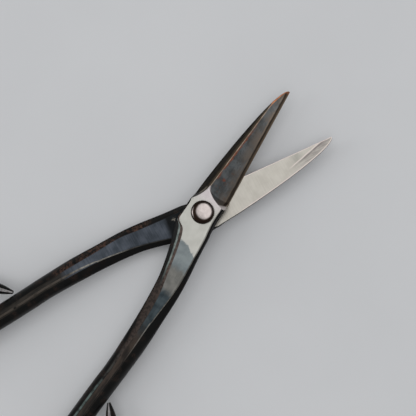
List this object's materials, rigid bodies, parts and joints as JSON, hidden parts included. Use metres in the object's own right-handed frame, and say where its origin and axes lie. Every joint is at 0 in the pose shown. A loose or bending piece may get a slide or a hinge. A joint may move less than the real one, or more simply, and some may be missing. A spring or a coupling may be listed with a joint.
{
  "type": "floral snips",
  "caption": "Forged flower shears with ground pointed blades, a domed rivet, long bowed shanks and open finger loops bent from the same bar.",
  "frame": {"origin": "on the rivet's axis, at the flat on the rivet's peened end, which is the lowest point", "axes": "+Y halfway between the two arms towards the blade tips, +Z along the rivet towards its domed head, +X to the front arm's handle"},
  "size_m": [0.121, 0.1919, 0.0142],
  "materials": {
    "forged_steel": "black forge scale with ground bright flats",
    "rivet_steel": "polished",
    "washer_steel": "satin"
  },
  "bodies": {
    "front_half": {"front_arm": "forged_steel", "pivot_rivet": "rivet_steel", "back_washer": "washer_steel"},
    "back_half": {"back_arm": "forged_steel"}
  },
  "joints": [
    {"name": "pivot", "type": "hinge", "parent": "front_half", "child": "back_half", "pos_m": [0, 0, 0.00715], "axis": [0, 0, 1], "range_deg": [-65, 25]}
  ]
}
